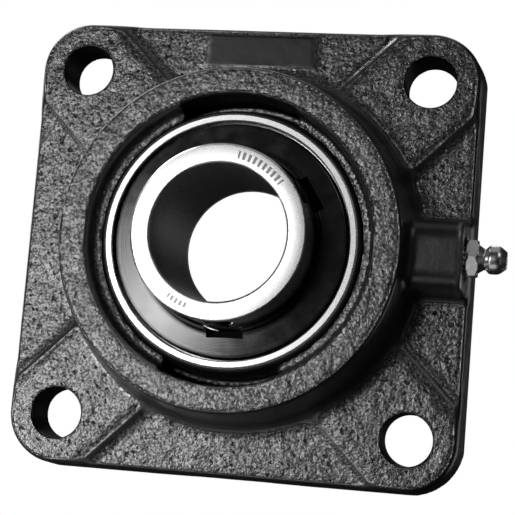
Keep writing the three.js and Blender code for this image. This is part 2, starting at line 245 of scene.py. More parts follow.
def place(points):
    """Rows of x, depth, z in millimetres, turned into x, y, z in metres."""
    points = np.asarray(points, float)
    return np.column_stack([points[:, 0], -points[:, 1], points[:, 2]]) * MM


def new_piece(name, vertices, faces, smooth_below=40):
    """A mesh object from vertices in metres, smooth except at edges sharper than smooth_below degrees."""
    mesh = bpy.data.meshes.new(name)
    mesh.from_pydata([tuple(v) for v in vertices], [], [tuple(f) for f in faces])
    return shaded(name, mesh, smooth_below)


def shaded(name, mesh, smooth_below):
    """The mesh as an object, with its edges sharp above that many degrees."""
    mesh.shade_smooth()
    mesh.set_sharp_from_angle(angle=math.radians(smooth_below))
    piece = bpy.data.objects.new(name, mesh)
    bpy.context.scene.collection.objects.link(piece)
    return piece


def solid(name, points, faces, smooth_below=40):
    """A closed piece from rows of x, depth, z. Doubled points are merged and faces turned outwards."""
    mesh = bpy.data.meshes.new(name)
    mesh.from_pydata([tuple(v) for v in place(points)], [], faces)
    shape = bmesh.new()
    shape.from_mesh(mesh)
    bmesh.ops.remove_doubles(shape, verts=shape.verts, dist=1e-7)
    bmesh.ops.recalc_face_normals(shape, faces=shape.faces)
    shape.to_mesh(mesh)
    shape.free()
    return shaded(name, mesh, smooth_below)


def rounded(corners, steps=4):
    """A closed outline from corners of (r, depth, fillet radius), with an arc where the radius isn't 0."""
    outline = []
    for i, (r, d, fillet) in enumerate(corners):
        here = Vector((r, d))
        if not fillet:
            outline.append(here)
            continue
        before = Vector(corners[i - 1][:2]) - here
        after = Vector(corners[(i + 1) % len(corners)][:2]) - here
        half_turn = before.angle(after) / 2
        reach = min(fillet / math.tan(half_turn), 0.48 * before.length, 0.48 * after.length)
        radius = reach * math.tan(half_turn)
        middle = (before.normalized() + after.normalized()).normalized()
        centre = here + middle * radius / math.sin(half_turn)
        start = here + before.normalized() * reach - centre
        swing = (here + after.normalized() * reach - centre).angle_signed(start)
        outline += [centre + Matrix.Rotation(swing * k / steps, 2) @ start for k in range(steps + 1)]
    return [(p.x, p.y) for p in outline]


def arc(centre, radius, start, end, steps):
    """Points of an arc in (r, depth) form, from one angle to another in degrees."""
    angles = np.radians(np.linspace(start, end, steps + 1))
    return [(centre[0] + radius * math.cos(a), centre[1] + radius * math.sin(a)) for a in angles]


def finely(outline, step):
    """The same closed outline, with points no further apart than step."""
    points = []
    for (r0, d0), (r1, d1) in zip(outline, outline[1:] + outline[:1]):
        count = max(1, math.ceil(math.hypot(r1 - r0, d1 - d0) / step))
        points += [(r0 + (r1 - r0) * k / count, d0 + (d1 - d0) * k / count) for k in range(count)]
    return points


def swept(name, sections, spin, closed=True, smooth_below=40):
    """A solid made by joining sections, one for each step of a full turn.

    A section is a row of (r, place) points, and spin(angle, r, place) gives the point's x, depth and z.
    A closed section is a loop that never meets the axis. An open one starts and ends on the axis.
    """
    sections = np.asarray(sections, float)
    sides, count = sections.shape[:2]
    angles = np.repeat(np.linspace(0, 2 * math.pi, sides, endpoint=False), count)
    points = np.column_stack(spin(angles, sections[..., 0].ravel(), sections[..., 1].ravel()))
    faces = []
    for i in range(sides):
        here, there = i * count, (i + 1) % sides * count
        for k in range(count if closed else count - 1):
            m = (k + 1) % count
            faces.append((here + k, here + m, there + m, there + k))
    return solid(name, points, faces, smooth_below)


def round_bore(angle, r, depth):
    """Round the bore axis, from +X towards +Z."""
    return r * np.cos(angle), depth, r * np.sin(angle)


def along_x(angle, r, x):
    """Round the X axis at the height of the bearing's centre plane. Angle 0 faces forwards."""
    return x, CENTRE_DEPTH + r * np.cos(angle), r * np.sin(angle)


def turned(name, outline, sides=FINE, smooth_below=40, spin=round_bore, closed=True):
    """A body of revolution from one outline of (r, place) points."""
    return swept(name, np.tile(outline, (sides, 1, 1)), spin, closed, smooth_below)


def ball_outline(centre, radius, steps):
    """Half a circle, from one pole of a ball to the other."""
    return arc((0, centre), radius, -90, 90, steps)


def thread_ridge(turns):
    """1 on a thread's crest and 0 in its root, from the number of turns passed. Both have a short flat."""
    return np.clip(np.abs(turns % 1 - 0.5) * 2.6 - 0.15, 0, 1)


def threaded(radius, thread, pitch, start, end, lead_in, sides=72):
    """Sections of a threaded rod, from one place to another, with its ends chamfered by lead_in."""
    places = np.arange(start, end + THREAD_STEP / 2, THREAD_STEP)
    sections = []
    for i in range(sides):
        ridge = thread_ridge(places / pitch - i / sides)
        limit = radius - lead_in + np.minimum(places - start, end - places)
        r = np.minimum(radius - thread * (1 - ridge), limit)
        sections.append([(0, start)] + list(zip(r, places)) + [(0, end)])
    return sections


def hexagon_r(across_flats, angle):
    """How far a hexagon's side is from its centre at an angle."""
    return across_flats / 2 / math.cos(angle % (math.pi / 3) - math.pi / 6)


def smooth_max(a, b, blend):
    """The larger of two fields, rounded where they cross."""
    share = np.clip(0.5 + 0.5 * (a - b) / blend, 0, 1)
    return b + (a - b) * share + blend * share * (1 - share)


def smooth_min(a, b, blend):
    """The smaller of two fields, filled in where they cross."""
    return -smooth_max(-a, -b, blend)


def field_surface(field, low, high, voxel):
    """Vertices and faces, in millimetres, of the surface where field(x, depth, z) is zero."""
    low = np.array(low, float)
    counts = np.ceil((np.array(high) - low) / voxel).astype(int) + 1
    x, y, z = (low[i] + voxel * np.arange(counts[i]) for i in range(3))
    grid_x, grid_y, grid_z = np.meshgrid(x, y, z, indexing="ij")
    values = field(grid_x, -grid_y, grid_z) / voxel
    grid = openvdb.FloatGrid(3.0)
    grid.copyFromArray(np.clip(values, -3, 3).astype(np.float32))
    points, faces = grid.convertToQuads(isovalue=0.0)
    points = points.astype(float) * voxel + low
    for _ in range(3):  # each pass moves the points nearer to the exact surface
        distance = at_points(field, points)
        slope = gradient(field, points)
        step = -distance[:, None] * slope / np.maximum((slope ** 2).sum(1), 0.2)[:, None]
        length = np.maximum(np.linalg.norm(step, axis=1), 1e-9)
        points += step * np.minimum(1, 0.4 * voxel / length)[:, None]
    return points, faces[:, ::-1]


def at_points(field, points):
    """The field at rows of x, y, z."""
    return field(points[:, 0], -points[:, 1], points[:, 2])


def gradient(field, points, reach=0.05):
    """The field's slope at rows of x, y, z."""
    columns = []
    for axis in range(3):
        shift = np.zeros(3)
        shift[axis] = reach
        ahead, behind = points + shift, points - shift
        rise = at_points(field, ahead) - at_points(field, behind)
        columns.append(rise / (2 * reach))
    return np.column_stack(columns)


HASH_STEPS = (73856093, 19349663, 83492791)
HASH_SEED_STEP = 2654435761
HASH_MIXERS = ((13, 1274126177), (16, 2246822519))


def corner_value(corners, seed):
    """A number from -1 to 1 for each lattice corner, always the same for the same corner and seed."""
    key = seed * HASH_SEED_STEP
    for axis, step in enumerate(HASH_STEPS):
        key = key ^ (corners[:, axis] * step)
    for shift, factor in HASH_MIXERS:
        key = ((key ^ (key >> shift)) * factor) & 0xFFFFFFFF
    return (key >> 8 & 0xFFFF) / 32767.5 - 1


def lattice_noise(points, size, seed):
    """Smooth noise from -1 to 1 at rows of x, y, z, with bumps about size across."""
    scaled = points / size
    cell = np.floor(scaled).astype(np.int64)
    part = scaled - cell
    fade = part * part * (3 - 2 * part)
    total = np.zeros(len(points))
    for corner in itertools.product((0, 1), repeat=3):
        total += corner_value(cell + corner, seed) * np.prod(np.where(corner, fade, 1 - fade), axis=1)
    return total


def above(value, limit, soft):
    """1 where the value is over the limit and 0 where it is under, fading over soft on each side."""
    share = np.clip((value - limit + soft) / (2 * soft), 0, 1)
    return share * share * (3 - 2 * share)


def below(value, limit, soft):
    """1 where the value is under the limit and 0 where it is over, fading over soft on each side."""
    return above(-value, -limit, soft)


def store(piece, name, values):
    """Keeps one number per vertex on the mesh, for its material to read."""
    attribute = piece.data.attributes.new(name, "FLOAT", "POINT")
    attribute.data.foreach_set("value", np.asarray(values, np.float32))


def cut(piece, cutter, smooth_below=40):
    """Takes the cutter's shape out of the piece, and removes the cutter."""
    modifier = piece.modifiers.new("cut", "BOOLEAN")
    modifier.operation = "DIFFERENCE"
    modifier.solver = "EXACT"
    modifier.object = cutter
    depsgraph = bpy.context.evaluated_depsgraph_get()
    mesh = bpy.data.meshes.new_from_object(piece.evaluated_get(depsgraph))
    piece.modifiers.clear()
    piece.data = mesh
    mesh.set_sharp_from_angle(angle=math.radians(smooth_below))
    bpy.data.objects.remove(cutter)


def finish_piece(piece, body, material, slot, *nodes):
    """Dresses a piece, hangs it on its body and lets it stand for its CAD nodes."""
    piece.data.materials.clear()
    piece.data.materials.append(material)
    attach(piece, body)
    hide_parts(*nodes)


# ---------------------------------------------------------------- materials

class Nodes:
    """A short way to write a Principled material's node tree. Each call gives back an output socket."""

    def __init__(self, name):
        self.material = bpy.data.materials.new(name)
        self.material.use_nodes = True
        self.tree = self.material.node_tree
        self.shader = self.tree.nodes["Principled BSDF"]
        self.place = self.make("ShaderNodeTexCoord").outputs["Object"]

    def make(self, kind, settings=(), **inputs):
        """A new node with its settings and inputs. An underscore stands for a space in an input's name."""
        node = self.tree.nodes.new(kind)
        for key, value in dict(settings).items():
            setattr(node, key, value)
        for key, value in inputs.items():
            self.feed(node.inputs[key.replace("_", " ")], value)
        return node

    def feed(self, socket, value):
        """Links an output to the socket, or sets a plain value on it."""
        if isinstance(value, bpy.types.NodeSocket):
            self.tree.links.new(value, socket)
        else:
            socket.default_value = value

    def set(self, **inputs):
        """Feeds the shader's own inputs."""
        for key, value in inputs.items():
            self.feed(self.shader.inputs[key.replace("_", " ")], value)

    def noise(self, per_mm, detail=2.0, roughness=0.5):
        """Cloudy noise with that many waves in a millimetre."""
        node = self.make("ShaderNodeTexNoise", Scale=per_mm / MM, Detail=detail, Roughness=roughness,
                         Vector=self.place)
        return node.outputs["Fac"]

    def rings(self, radius, per_mm, roughness):
        """Noise that varies with the radius in millimetres only, as turning lines do."""
        node = self.make("ShaderNodeTexNoise", {"noise_dimensions": "1D"}, Scale=per_mm, Detail=3.0,
                         Roughness=roughness, W=radius)
        return node.outputs["Fac"]

    def cells(self, per_mm):
        """Distance from the nearest of many scattered points."""
        smooth = {"feature": "SMOOTH_F1"}
        node = self.make("ShaderNodeTexVoronoi", smooth, Scale=per_mm / MM, Vector=self.place)
        return node.outputs["Distance"]

    def math(self, operation, a, b=0.0):
        """The result of one operation on a and b."""
        node = self.make("ShaderNodeMath", {"operation": operation})
        for socket, value in zip(node.inputs, (a, b)):
            self.feed(socket, value)
        return node.outputs[0]

    def product(self, first, *others):
        """All the values multiplied together."""
        for value in others:
            first = self.math("MULTIPLY", first, value)
        return first

    def total(self, first, *others):
        """All the values added up."""
        for value in others:
            first = self.math("ADD", first, value)
        return first

    def flipped(self, value):
        """1 less the value."""
        return self.math("SUBTRACT", 1.0, value)

    def spread(self, value, low, high, to_low=0.0, to_high=1.0):
        """The value's range from low to high, eased onto another range."""
        node = self.make("ShaderNodeMapRange", {"interpolation_type": "SMOOTHSTEP"})
        for socket, number in zip(node.inputs, (value, low, high, to_low, to_high)):
            self.feed(socket, number)
        return node.outputs[0]

    def grey(self, share, here, there):
        """A colour that goes from here to there with share. Each is a grey level or another colour."""
        node = self.make("ShaderNodeMix", {"data_type": "RGBA"})
        self.feed(node.inputs["Factor"], share)
        for name, colour in (("A", here), ("B", there)):
            is_level = isinstance(colour, float)
            self.feed(node.inputs[name], (colour, colour, colour, 1.0) if is_level else colour)
        return node.outputs["Result"]

    def stored(self, name):
        """A number that store() kept on the mesh."""
        return self.make("ShaderNodeAttribute", {"attribute_name": name}).outputs["Fac"]

    def bump(self, height, distance_mm):
        """Relief in the shading, that many millimetres high."""
        node = self.make("ShaderNodeBump", Height=height, Distance=distance_mm * MM)
        self.set(Normal=node.outputs["Normal"])

    def radius(self):
        """Distance from the bore axis, in millimetres."""
        parts = self.make("ShaderNodeSeparateXYZ", Vector=self.place)
        squares = [self.product(parts.outputs[k], parts.outputs[k]) for k in ("X", "Z")]
        return self.product(self.math("SQRT", self.total(*squares)), 1 / MM)

    def within(self, value, low, high, soft):
        """1 between two limits, falling to 0 over a soft edge."""
        return self.product(
            self.spread(value, low - soft, low + soft), self.spread(value, high + soft, high - soft)
        )

    def etched_bars(self, radius):
        """1 on two rows of short bars, set round the front face of the inner ring like a date code."""
        parts = self.make("ShaderNodeSeparateXYZ", Vector=self.place)
        turn = self.math("ARCTAN2", parts.outputs["Z"], parts.outputs["X"])
        turn = self.product(turn, 180 / math.pi)
        front = self.math("LESS_THAN", parts.outputs["Y"], -(CENTRE_DEPTH + INNER_FRONT - 0.05) * MM)
        marks = []
        for row in ETCHED_ROWS:
            spacing = row["spacing"]
            stripe = self.math("PINGPONG", self.math("SUBTRACT", turn, row["turn"][0]), spacing / 2)
            bar = self.spread(stripe, spacing * 0.26, spacing * 0.2)
            in_turn = self.within(turn, *row["turn"], 0.2)
            marks.append(self.product(bar, in_turn, self.within(radius, *row["radii"], 0.08)))
        return self.product(self.total(*marks), front)


def painted_iron():
    """Graphite paint over a sand-cast skin, and bare iron where the casting is machined. On the end of the
    grease boss that lighter bare-iron grey is partly painted light.

    The skin is a fine pebbly grain, flatter and darker where the stored skin mask is low, with soft dark pits
    except on what is "raised" above the flange. That darker paint is painted shade in the bolt holes, the
    loading slots and on the walls. The paint is rubbed thin along the "edge" of every shape.
    """
    n = Nodes("painted_cast_iron")
    skin_and_shade, edge, machined, raised = (n.stored(name) for name in ("skin_and_shade", "edge", "machined", "raised"))
    grain = n.noise(0.9, 2.0, 0.5)
    sand = n.noise(1.7, 2.0, 0.6)
    swell = n.noise(0.3, 2.0, 0.5)

    open_skin = n.product(n.spread(skin_and_shade, 0.4, 0.9), n.flipped(raised))
    hole = n.product(n.spread(n.cells(0.62), 0.3, 0.1), n.spread(grain, 0.6, 0.46))
    pits = n.flipped(n.product(hole, open_skin, 0.75))
    hollows = n.product(n.spread(sand, 0.62, 0.37, 0.0, 0.76), n.spread(skin_and_shade, 0.1, 0.6))
    # painted shade: where the stored skin mask is low, in the bolt holes, the slots and on the walls, the
    # paint is made darker
    skin = n.product(pits, n.flipped(hollows), n.spread(skin_and_shade, 0.0, 0.6, 0.05, 1.0))

    worn = n.product(n.spread(edge, 0.5, 1.0), n.spread(grain, 0.4, 0.62))
    paint = n.grey(worn, n.grey(skin, 0.01, 0.3), 0.28)
    # the bare-iron grey on the end of the grease boss is partly painted light
    n.set(Base_Color=n.grey(machined, paint, 0.3), Roughness=n.spread(swell, 0.3, 0.7, 0.38, 0.3))
    n.set(Metallic=0.8, Specular_IOR_Level=0.35)
    height = n.total(n.product(grain, 0.9), n.product(sand, 0.4), n.product(pits, 0.8))
    n.bump(n.product(height, n.spread(skin_and_shade, 0.0, 1.0, 0.06, 1.0)), 0.21)
    return n.material


def ground_steel(brightness, roughness):
    """Ground steel: fine concentric lines, faint stains, and rows of short etched bars on the front face.

    The outer ring's spherical back is painted near black and dull as painted shade, and the inner ring's bore
    is painted a little darker than its face as painted shade.
    """
    n = Nodes("ground_steel")
    radius = n.radius()
    stain = n.noise(0.25, 3.0, 0.6)
    speck = n.noise(2.2, 2.0, 0.6)
    etched = n.etched_bars(radius)
    # painted shade: the inner ring's bore is painted darker than its face
    shaded_bore = n.spread(radius, BORE_R + 0.6, BORE_R + 0.3)
    # painted shade: past this radius the outer ring's spherical back is painted near black and dull
    back_shade = n.spread(radius, BACK_SHADE_R, BACK_SHADE_R + 0.3)

    metal = n.grey(stain, brightness * 0.9, brightness)
    metal = n.grey(back_shade, n.grey(shaded_bore, metal, 0.4), 0.02)
    shine = n.spread(speck, 0.3, 0.7, roughness * 0.93, roughness * 1.07)
    n.set(Base_Color=n.grey(etched, metal, 0.25), Metallic=n.spread(radius, BACK_SHADE_R + 0.3, BACK_SHADE_R))
    n.set(Roughness=n.math("MAXIMUM", shine, n.product(back_shade, 0.6)))
    height = n.total(n.product(n.rings(radius, 9.0, 0.7), 0.25), speck)
    n.bump(n.math("SUBTRACT", height, n.product(etched, 20.0)), 0.0015)
    return n.material


def rubber():
    """Black moulded rubber, dull, with a faint grain."""
    n = Nodes("seal_rubber")
    speck = n.noise(1.5, 3.0)
    n.set(Base_Color=n.grey(speck, 0.004, 0.009), Roughness=n.spread(speck, 0.3, 0.7, 0.75, 0.9))
    n.set(Specular_IOR_Level=0.12)
    n.bump(speck, 0.05)
    return n.material


def pressed_sheet():
    """Cold-rolled sheet with faint turning lines, painted near black round its collar as shade where it meets
    the inner ring.
    """
    n = Nodes("flinger_steel")
    radius = n.radius()
    stain = n.noise(0.3, 3.0, 0.6)
    # painted shade: the sheet is painted near black round its collar, next to the inner ring
    collar = n.spread(radius, FLINGER_COLLAR_R + 1.4, FLINGER_COLLAR_R + 0.9)
    n.set(Base_Color=n.grey(collar, n.grey(stain, 0.18, 0.24), 0.02), Metallic=1.0)
    n.set(Roughness=n.spread(stain, 0.3, 0.7, 0.2, 0.27))
    n.bump(n.total(n.rings(radius, 2.5, 0.6), n.product(stain, 0.5)), 0.01)
    return n.material


def small_metal(name, brightness, roughness, metallic=1.0):
    """Plated or blackened steel on the small parts, with a faint mottle."""
    n = Nodes(name)
    mottle = n.noise(1.2, 3.0, 0.6)
    n.set(Base_Color=n.grey(mottle, brightness * 0.85, brightness), Metallic=metallic)
    n.set(Roughness=n.spread(mottle, 0.3, 0.7, roughness * 0.8, roughness * 1.2))
    n.bump(mottle, 0.02)
    return n.material


iron_paint = painted_iron()
ring_steel = ground_steel(0.92, 0.29)
ball_steel = small_metal("ball_steel", 0.85, 0.1)
cage_sheet = small_metal("pressed_steel", 0.6, 0.35)
seal_rubber = rubber()
flinger_sheet = pressed_sheet()
black_steel = small_metal("black_steel", 0.035, 0.4, 0.6)
zinc = small_metal("zinc_plated_steel", 0.92, 0.3)
spring_wire = small_metal("spring_steel", 0.5, 0.3)


# ---------------------------------------------------------------- housing

def flange_outline(x, z, depth):
    """Distance outside the flange's square outline, which has round corners and leans in with the draft."""
    lean = DRAFT * depth
    radius = CORNER_R - lean
    across = np.abs(x) - (FLANGE_HALF - lean) + radius
    up = np.abs(z) - (FLANGE_HALF - lean) + radius
    return np.hypot(np.maximum(across, 0), np.maximum(up, 0)) + np.minimum(np.maximum(across, up), 0) - radius


def pad_sides(x, z, depth):
    """Distance outside the four raised strips that run from the hub to the bolt holes."""
    reach = BOLT_X * math.sqrt(2)
    along = np.clip((np.abs(x) + np.abs(z)) / math.sqrt(2), 0, reach) / math.sqrt(2)
    away = np.hypot(np.abs(x) - along, np.abs(z) - along)
    return (away - PAD_HALF_WIDTH - (PAD_DEPTH - depth) * PAD_FLARE) / math.hypot(1, PAD_FLARE)


def boss_block(x, z, depth, outline):
    """Distance outside the grease boss, which runs from inside the hub to the flange's edge."""
    side = np.abs(z) - BOSS_HALF_WIDTH - (BOSS_DEPTH - depth) * BOSS_DRAFT
    block = smooth_max(side, depth - BOSS_DEPTH, BOSS_ROUND)
    return smooth_max(smooth_max(block, outline, BOSS_END_ROUND), BOSS_START_X - x, SMALL_ROUND)


def casting(x, depth, z, r):
    """Distance outside the casting before anything is bored in it."""
    outline = flange_outline(x, z, depth)
    plate = smooth_max(outline, depth - WEB_DEPTH, EDGE_ROUND)
    pads = smooth_max(pad_sides(x, z, depth), depth - PAD_DEPTH, PAD_TOP_ROUND)
    body = smooth_min(plate, smooth_max(pads, outline, EDGE_ROUND), PAD_FILLET)
    hub_side = (r - HUB_R - (HUB_DEPTH - depth) * HUB_FLARE) * HUB_SLANT
    body = smooth_min(body, smooth_max(hub_side, depth - HUB_DEPTH, HUB_ROUND), HUB_FILLET)
    body = smooth_min(body, boss_block(x, z, depth, outline), BOSS_FILLET)
    return smooth_max(body, -depth, SMALL_ROUND)


def hollow(x, depth, r):
    """Distance outside the bearing's room: seat, both mouths, two loading slots and a grease groove."""
    seat = np.hypot(r, depth - CENTRE_DEPTH) - SEAT_R
    rear = np.maximum(r - REAR_BORE_R, depth - CENTRE_DEPTH)
    front_wall = r - FRONT_BORE_R - np.maximum(depth - HUB_DEPTH + MOUTH_FLARE_DEPTH, 0) * MOUTH_FLARE
    front = smooth_max(front_wall, STEP_DEPTH - depth, STEP_ROUND)
    slot_side = smooth_max(np.abs(x) - SLOT_HALF_WIDTH, r - SLOT_R, SLOT_ROUND)
    slot = smooth_max(slot_side, CENTRE_DEPTH - depth, SLOT_FLOOR_ROUND)
    groove = smooth_max(r - GROOVE_R, np.abs(depth - GROOVE_DEPTH) - GROOVE_HALF_WIDTH, GROOVE_ROUND)
    bored = np.minimum(np.minimum(seat, rear), groove)
    return smooth_min(bored, smooth_min(front, slot, SMALL_ROUND), SMALL_ROUND)


def housing_field(x, depth, z):
    """Distance outside the finished housing, in millimetres."""
    r = np.hypot(x, z)
    rim_round = SEAT_ROUND + MOUTH_EXTRA_ROUND * above(depth, *MOUTH_FADE)
    body = smooth_max(casting(x, depth, z, r), -hollow(x, depth, r), rim_round)
    bolt = np.hypot(np.abs(x) - BOLT_X, np.abs(z) - BOLT_X) - BOLT_HOLE_R
    body = smooth_max(body, -bolt, BOLT_ROUND)
    around_nipple = np.hypot(z, depth - CENTRE_DEPTH)
    body = smooth_max(body, -np.maximum(around_nipple - SPOT_R, SPOT_X - x), SPOT_ROUND)
    body = smooth_max(body, -np.maximum(around_nipple - TAPPED_R, TAPPED_END_X - x), TAPPED_ROUND)
    return np.maximum(body, -np.maximum(around_nipple - GREASE_HOLE_R, BOSS_START_X - x))


def skin_and_shade_mask(points, lean):
    """1 on the as-cast skin and near 0 on machined faces, with a smoother patch above the hub. The paint is
    darker where this is low, so it also paints shade: near 0 in the bolt holes and the loading slots.

    lean is how far each point's surface turns away from the front, from 0 to 1. Walls come out smoother, and
    darker as painted shade.
    """
    x, depth, z = points[:, 0], -points[:, 1], points[:, 2]
    r = np.hypot(x, z)
    bolt = np.hypot(np.abs(x) - BOLT_X, np.abs(z) - BOLT_X)
    # the mounting face gets 0 as machined; the bolt holes' walls get 0 too, painting shade in them
    mask = above(depth, 0.475, 0.325) * above(bolt, BOLT_HOLE_R + 0.375, 0.325)
    in_slot = (np.abs(x) < SLOT_HALF_WIDTH + 0.3) & (depth > CENTRE_DEPTH - 0.2)
    seat = (r < GROOVE_R + 0.1) & (depth < STEP_DEPTH - 0.6) & ~in_slot
    spot = (np.hypot(z, depth - CENTRE_DEPTH) < SPOT_R + 0.15) & (x > SPOT_X - 0.3)
    mask *= np.where(seat, 0.0, 1.0) * np.where(spot, 0.1, 1.0)
    # painted shade: the loading slots' walls and floors are painted near black
    mask *= np.where(in_slot & (r < SLOT_R + 0.4), 0.05, 1.0)

    patch = below(np.abs(x - PATCH_X), PATCH_HALF_WIDTH, 1.5) * above(depth, 10, 1)
    patch *= below(np.abs(z - PATCH_Z), PATCH_HALF_HEIGHT, 0.6)
    boss = below(np.abs(z), 8.25, 0.75) * above(x, 39.5, 1) * above(depth, 15.5, 1.5)
    # painted shade: walls turned away from the front are painted darker, as well as smoother
    smooth_shaded_wall = above(lean, 0.08, 0.05)
    return mask * (1 - np.maximum.reduce([0.85 * patch, 0.82 * boss, 0.78 * smooth_shaded_wall]))


def machined_mask(points):
    """1 on the milled mounting face, the bored seat and the end of the grease boss. On the boss's end the
    lighter bare-iron grey is partly painted light.
    """
    r, depth = np.hypot(points[:, 0], points[:, 2]), -points[:, 1]
    seat = (r < MACHINED_R) & (depth < STEP_DEPTH - 0.4)
    # partly painted light: the boss's end is given the lighter bare-iron grey
    boss_end = above(points[:, 0], 50.85, 0.35) * above(depth, 14, 1)
    return np.where(seat, 1.0, np.maximum(below(depth, 0.35, 0.15), boss_end))


def edge_mask(points, normals):
    """1 on outer edges, where little metal lies behind the surface, but not round the nipple's seat."""
    behind = -at_points(housing_field, points - EDGE_PROBE * normals)
    inward = np.maximum(SPOT_X - 4.5 - points[:, 0], 0)
    from_seat = np.hypot(points[:, 2], -points[:, 1] - CENTRE_DEPTH) + inward
    return np.clip(1 - behind / EDGE_PROBE, 0, 1) * above(from_seat, 7.5, 1)


def cast_skin(points, normals, skin_and_shade):
    """The points moved by the lumps of the cast skin, and kept inside the CAD part's box."""
    bumps = sum(height * lattice_noise(points, width, seed) for height, width, seed in SKIN_BUMPS)
    points = points + normals * (skin_and_shade * (bumps - SKIN_SINK))[:, None]
    return np.clip(points, np.array(housing_low) + BOX_INSET, np.array(housing_high) - BOX_INSET)


def make_housing():
    """The whole casting as one surface, with the masks that its material reads."""
    reach = FLANGE_HALF + FIELD_MARGIN
    low, high = (-reach, -HUB_DEPTH - FIELD_MARGIN, -reach), (reach, FIELD_MARGIN, reach)
    points, faces = field_surface(housing_field, low, high, HOUSING_VOXEL)
    normals = gradient(housing_field, points)
    normals /= np.linalg.norm(normals, axis=1)[:, None]
    edge = edge_mask(points, normals)
    skin_and_shade = skin_and_shade_mask(points, 1 - np.abs(normals[:, 1]))
    points = cast_skin(points, normals, skin_and_shade)
    housing = new_piece("cast_housing", points * MM, faces, 180)
    store(housing, "skin_and_shade", skin_and_shade)
    store(housing, "edge", edge)
    store(housing, "machined", machined_mask(points))
    store(housing, "raised", above(-points[:, 1], 16, 2))
    finish_piece(housing, "housing", iron_paint, "painted_cast_iron", "housing")


make_housing()


# ---------------------------------------------------------------- rings

def from_centre(outline):
    """Outline points counted frontwards from the bearing's centre plane, as (r, depth)."""
    return [(r, CENTRE_DEPTH + ahead) for r, ahead in outline]


def make_outer_ring():
    """The ring with the spherical back, a groove for the balls and a step on each side for a seal."""
    face, step = OUTER_HALF_WIDTH, SHOULDER_HALF_WIDTH
    edge = math.degrees(math.asin((face - OUTER_EDGE) / OUTER_RING_R))
    race = math.degrees(math.acos((SHOULDER_R - PITCH_R) / RACE_R))
    rear = [(OUTER_FACE_R, -face), (LAND_R + LAND_CHAMFER, -face), (LAND_R, LAND_CHAMFER - face)]
    rear += [(LAND_R, -step), (SHOULDER_R, -step)]
    front = [(r, -ahead) for r, ahead in rear[::-1]]
    outline = arc((0, 0), OUTER_RING_R, edge, -edge, 40) + rear
    outline += arc((PITCH_R, 0), RACE_R, -race, race, 16) + front
    ring = turned("bearing_outer_ring", from_centre(outline), smooth_below=25)
    finish_piece(ring, "outer_ring_unit", ring_steel, "ground_steel", "outer_ring")


def make_inner_ring():
    """The wide ring with the shaft's bore, a groove for the balls and a tapped hole for each set screw."""
    chamfer = INNER_CHAMFER
    race = math.degrees(math.acos((PITCH_R - INNER_RING_R) / RACE_R))
    corners = [
        (BORE_R, chamfer - INNER_REAR, 0.2), (BORE_R + chamfer, -INNER_REAR, 0.15),
        (INNER_RING_R - chamfer, -INNER_REAR, 0.2), (INNER_RING_R, chamfer - INNER_REAR, 0.2),
    ]
    outline = rounded(corners)
    outline += arc((PITCH_R, 0), RACE_R, 180 + race, 180 - race, 16)
    outline += rounded([
        (INNER_RING_R, INNER_FRONT - chamfer, 0.2), (INNER_RING_R - chamfer, INNER_FRONT, 0.2),
        (BORE_R + chamfer, INNER_FRONT, 0.15), (BORE_R, INNER_FRONT - chamfer, 0.2),
    ])
    ring = turned("bearing_inner_ring", from_centre(outline), smooth_below=30)
    for joint in screw_joints:
        bottom, top = BORE_R - 2, INNER_RING_R + 2
        sections = threaded(SCREW_HOLE_R, SCREW_HOLE_THREAD, SCREW_PITCH, bottom, top, 0)
        hole = swept("screw_hole", sections, along_x, False)
        cut(ring, at_screw(hole, screw_axis(joint)), 30)
    finish_piece(ring, "inner_unit", ring_steel, "ground_steel", "inner_ring")


def screw_axis(joint):
    """The set screw's angle from +X towards +Z, from the axis that it slides on."""
    x, _, z = joint["axis"]
    return math.atan2(z, x)


def at_screw(piece, angle):
    """Moves a piece made on the X axis, at the height of the centre plane, to a set screw's place."""
    forward = Matrix.Translation((0, -(INNER_FRONT - SCREW_FROM_FACE) * MM, 0))
    turn = Matrix.Rotation(-angle, 4, "Y")
    piece.data.transform(turn @ forward)
    return piece


def make_set_screw(index, joint):
    """A threaded screw with a cup point and a hexagon socket that has a small lead-in."""
    tip, top = SCREW_ENDS_R
    name = f"socket_set_screw_{index}"
    screw = swept(name, threaded(SCREW_R, SCREW_THREAD, SCREW_PITCH, tip, top, 0.55), along_x, False, 50)
    cup = turned("cup", [(0, tip - 1), (1.6, tip - 0.5), (0, tip + 0.9)], 48, spin=along_x, closed=False)
    cut(screw, cup)
    across = SOCKET_FLATS / 2
    sides = [hexagon_r(SOCKET_FLATS, math.radians(10 * i + 30)) for i in range(36)]
    socket = [[(0, top - SOCKET_DEPTH), (r, top - SOCKET_DEPTH), (r, top + 1), (0, top + 1)] for r in sides]
    cut(screw, swept("socket", socket, along_x, False))
    lead = [(0, top - 0.3), (across * 1.05, top - 0.3), (across * 1.5, top + 0.3), (0, top + 0.3)]
    cut(screw, turned("lead", lead, 48, spin=along_x, closed=False))
    at_screw(screw, screw_axis(joint))
    finish_piece(screw, joint["child"], black_steel, "black_steel", joint["child"])


make_outer_ring()
make_inner_ring()
for number, screw_joint in enumerate(screw_joints, 1):
    make_set_screw(number, screw_joint)


# ---------------------------------------------------------------- balls, cage, seals and flingers

def on_pitch_circle(index, depth):
    """The move from the bore axis to a place on the balls' pitch circle, counted in ball spacings."""
    angle = 2 * math.pi * index / BALL_COUNT
    return Matrix.Translation(Vector((PITCH_R * math.cos(angle), -depth, PITCH_R * math.sin(angle))) * MM)


